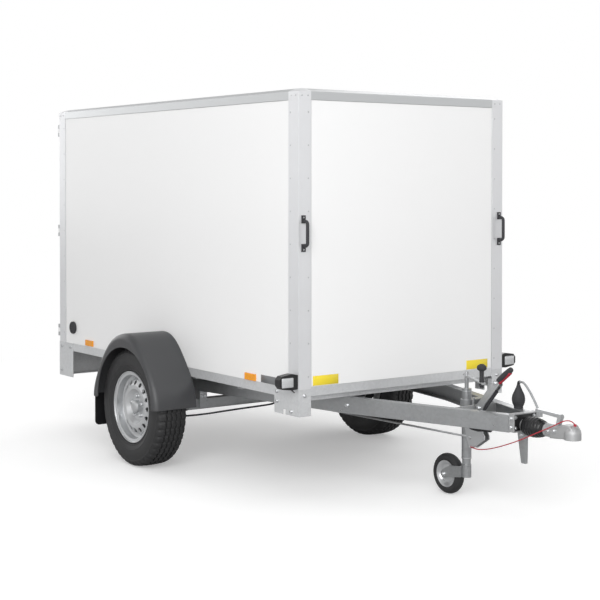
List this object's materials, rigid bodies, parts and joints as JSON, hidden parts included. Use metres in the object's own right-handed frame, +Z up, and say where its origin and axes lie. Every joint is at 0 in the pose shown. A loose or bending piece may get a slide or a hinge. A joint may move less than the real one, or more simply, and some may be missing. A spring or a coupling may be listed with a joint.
{
  "type": "enclosed cargo trailer",
  "caption": "Enclosed single-axle box trailer with V-drawbar, overrun ball coupling, jockey wheel, moulded mudguards and hinged rear doors.",
  "frame": {"origin": "on the ground, under the centre of the trailer's bounding box", "axes": "+X forward to the coupling, +Y to the left of the trailer, +Z up"},
  "size_m": [3.789, 1.85, 1.997],
  "materials": {
    "galvanised": "hot-dip galvanised, matte",
    "aluminium": "anodised, satin",
    "roof_trim": "mill finish, weathered",
    "wall": "off-white laminate, semi-gloss",
    "floor": "non-slip phenolic plywood",
    "black_rubber": "matte",
    "tyre": "matte",
    "wheel_silver": "silver lacquer",
    "cast_zinc": "zinc plated",
    "black_plastic": "matte",
    "grey_plastic": "grained",
    "lead_grey": "satin",
    "red_cable": "plastic coated steel",
    "amber": "prismatic",
    "lamp": "moulded lens"
  },
  "bodies": {
    "trailer": {"side_rails": "galvanised", "cross_members": "galvanised", "rear_cross_member": "galvanised", "corner_brackets": "galvanised", "drawbar_beams": "galvanised", "overrun_housing": "cast_zinc", "draw_tube": "cast_zinc", "bellows": "black_rubber", "coupling_head": "cast_zinc", "coupling_handle": "cast_zinc", "handbrake_lever": "cast_zinc", "handbrake_grip": "black_plastic", "gas_spring": "black_plastic", "overrun_lever": "cast_zinc", "brake_rod": "cast_zinc", "brake_cables": "black_plastic", "axle_beam": "galvanised", "axle_brackets": "galvanised", "swing_arms": "galvanised", "mudguard_left": "grey_plastic", "mudguard_right": "grey_plastic", "mud_flaps": "black_rubber", "floor_panel": "floor", "front_panel": "wall", "side_panel_left": "wall", "side_panel_right": "wall", "roof_panel": "wall", "corner_posts": "aluminium", "roof_profiles": "roof_trim", "corner_caps": "cast_zinc", "door_hinge_lugs": "cast_zinc", "grab_handles": "black_plastic", "marker_lamps": "black_rubber", "rear_lamps": "lamp", "side_reflectors": "amber", "side_vents": "black_plastic", "plug_holder": "black_plastic", "plug": "black_plastic", "plug_lead": "lead_grey", "breakaway_cable": "red_cable", "breakaway_hook": "red_cable", "prop_leg": "galvanised", "jockey_clamp": "galvanised", "jockey_outer_tube": "galvanised", "jockey_crank": "cast_zinc"},
    "rear_door_left": {"rear_door_left": "wall", "door_lock_left": "cast_zinc"},
    "rear_door_right": {"rear_door_right": "wall", "door_lock_right": "cast_zinc"},
    "wheel_left": {"wheel_hub_left": "cast_zinc", "wheel_rim_left": "wheel_silver", "tyre_left": "tyre"},
    "wheel_right": {"wheel_hub_right": "cast_zinc", "wheel_rim_right": "wheel_silver", "tyre_right": "tyre"},
    "jockey_slide": {"jockey_inner_tube": "galvanised"},
    "jockey_swivel": {"jockey_fork": "galvanised"},
    "jockey_wheel": {"jockey_rim": "wheel_silver", "jockey_tyre": "tyre"}
  },
  "joints": [
    {"name": "wheel_left_spin", "type": "hinge", "parent": "trailer", "child": "wheel_left", "pos_m": [-0.5505, 0.7955, 0.323], "axis": [0, 1, 0], "continuous": true},
    {"name": "wheel_right_spin", "type": "hinge", "parent": "trailer", "child": "wheel_right", "pos_m": [-0.5505, -0.7955, 0.323], "axis": [0, 1, 0], "continuous": true},
    {"name": "rear_door_left_hinge", "type": "hinge", "parent": "trailer", "child": "rear_door_left", "pos_m": [-1.8605, 0.662, 1.245], "axis": [0, 0, -1], "range_deg": [0, 250]},
    {"name": "rear_door_right_hinge", "type": "hinge", "parent": "trailer", "child": "rear_door_right", "pos_m": [-1.8605, -0.662, 1.245], "axis": [0, 0, 1], "range_deg": [0, 250]},
    {"name": "jockey_height", "type": "slide", "parent": "trailer", "child": "jockey_slide", "axis": [0, 0, 1], "range_m": [-0.2, 0.024]},
    {"name": "jockey_swivel", "type": "hinge", "parent": "jockey_slide", "child": "jockey_swivel", "pos_m": [1.0805, 0.086, 0.13], "axis": [0, 0, 1], "continuous": true},
    {"name": "jockey_wheel_spin", "type": "hinge", "parent": "jockey_swivel", "child": "jockey_wheel", "pos_m": [0.9515, 0.086, 0.1], "axis": [0, 1, 0], "continuous": true}
  ]
}
